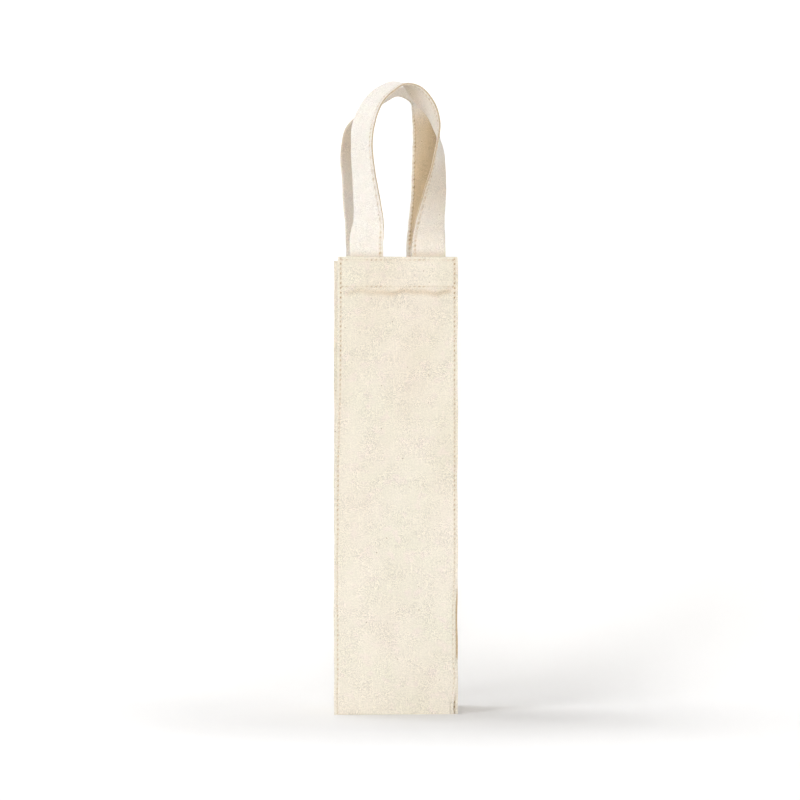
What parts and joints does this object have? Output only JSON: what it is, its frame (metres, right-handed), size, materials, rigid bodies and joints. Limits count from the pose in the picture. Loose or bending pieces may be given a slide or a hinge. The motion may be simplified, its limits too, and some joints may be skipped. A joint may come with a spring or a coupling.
{
  "type": "bottle tote bag",
  "caption": "Tall narrow canvas tote for one bottle, with side gussets, a turned-in hem and strap handles, that folds flat.",
  "frame": {"origin": "middle of the base's underside", "axes": "+Z from the base to the handles, +X to the right across the front panel, front panel towards -Y"},
  "size_m": [0.1, 0.1363, 0.5296],
  "materials": {
    "canvas": "undyed plain-weave cotton canvas",
    "thread": "undyed cotton sewing thread"
  },
  "bodies": {
    "front": {"front_panel": "canvas", "left_front_seam": "canvas", "right_front_seam": "canvas", "base_front_seam": "canvas", "front_handle_tails": "canvas", "front_edge_stitches": "thread", "front_hem_stitches": "thread", "base_left_gore": "canvas", "base_right_gore": "canvas"},
    "left_gusset_front_half": {"left_gusset_front": "canvas", "left_gusset_front_stitches": "thread"},
    "left_gusset_back_half": {"left_gusset_back": "canvas", "left_gusset_back_stitches": "thread"},
    "right_gusset_front_half": {"right_gusset_front": "canvas", "right_gusset_front_stitches": "thread"},
    "right_gusset_back_half": {"right_gusset_back": "canvas", "right_gusset_back_stitches": "thread"},
    "back": {"back_panel": "canvas", "left_back_seam": "canvas", "right_back_seam": "canvas", "base_back_seam": "canvas", "back_handle_tails": "canvas", "back_edge_stitches": "thread", "back_hem_stitches": "thread"},
    "base_front_half": {"base_front": "canvas"},
    "base_back_half": {"base_back": "canvas"},
    "front_loop": {"front_handle": "canvas"},
    "back_loop": {"back_handle": "canvas"}
  },
  "joints": [
    {"name": "fold", "type": "hinge", "parent": "front", "child": "left_gusset_front_half", "pos_m": [-0.0454, -0.0361, 0.19], "axis": [0, 0, -1], "range_deg": [0, 84], "deforming": ["base_left_gore", "base_right_gore"]},
    {"name": "left_gusset_crease", "type": "hinge", "parent": "left_gusset_front_half", "child": "left_gusset_back_half", "pos_m": [-0.047, 0, 0.19], "axis": [0, 0, 1], "range_deg": [0, 168]},
    {"name": "left_back_fold", "type": "hinge", "parent": "left_gusset_back_half", "child": "back", "pos_m": [-0.0454, 0.0361, 0.19], "axis": [0, 0, -1], "range_deg": [0, 84]},
    {"name": "right_front_fold", "type": "hinge", "parent": "front", "child": "right_gusset_front_half", "pos_m": [0.0454, -0.0361, 0.19], "axis": [0, 0, 1], "range_deg": [0, 84]},
    {"name": "right_gusset_crease", "type": "hinge", "parent": "right_gusset_front_half", "child": "right_gusset_back_half", "pos_m": [0.047, 0, 0.19], "axis": [0, 0, -1], "range_deg": [0, 168]},
    {"name": "base_front_fold", "type": "hinge", "parent": "front", "child": "base_front_half", "pos_m": [0, -0.0361, 0.0016], "axis": [1, 0, 0], "range_deg": [0, 84]},
    {"name": "base_crease", "type": "hinge", "parent": "base_front_half", "child": "base_back_half", "pos_m": [0, 0, 0], "axis": [-1, 0, 0], "range_deg": [0, 168]},
    {"name": "front_handle_swing", "type": "hinge", "parent": "front", "child": "front_loop", "pos_m": [0, -0.0384, 0.386], "axis": [1, 0, 0], "range_deg": [0, 130]},
    {"name": "back_handle_swing", "type": "hinge", "parent": "back", "child": "back_loop", "pos_m": [0, 0.0384, 0.386], "axis": [-1, 0, 0], "range_deg": [0, 130]}
  ],
  "couplings": [
    {"joint": "left_gusset_crease", "follows": "fold", "ratio": 2},
    {"joint": "left_back_fold", "follows": "fold", "ratio": 1},
    {"joint": "right_front_fold", "follows": "fold", "ratio": 1},
    {"joint": "right_gusset_crease", "follows": "fold", "ratio": 2},
    {"joint": "base_front_fold", "follows": "fold", "ratio": 1},
    {"joint": "base_crease", "follows": "fold", "ratio": 2}
  ]
}
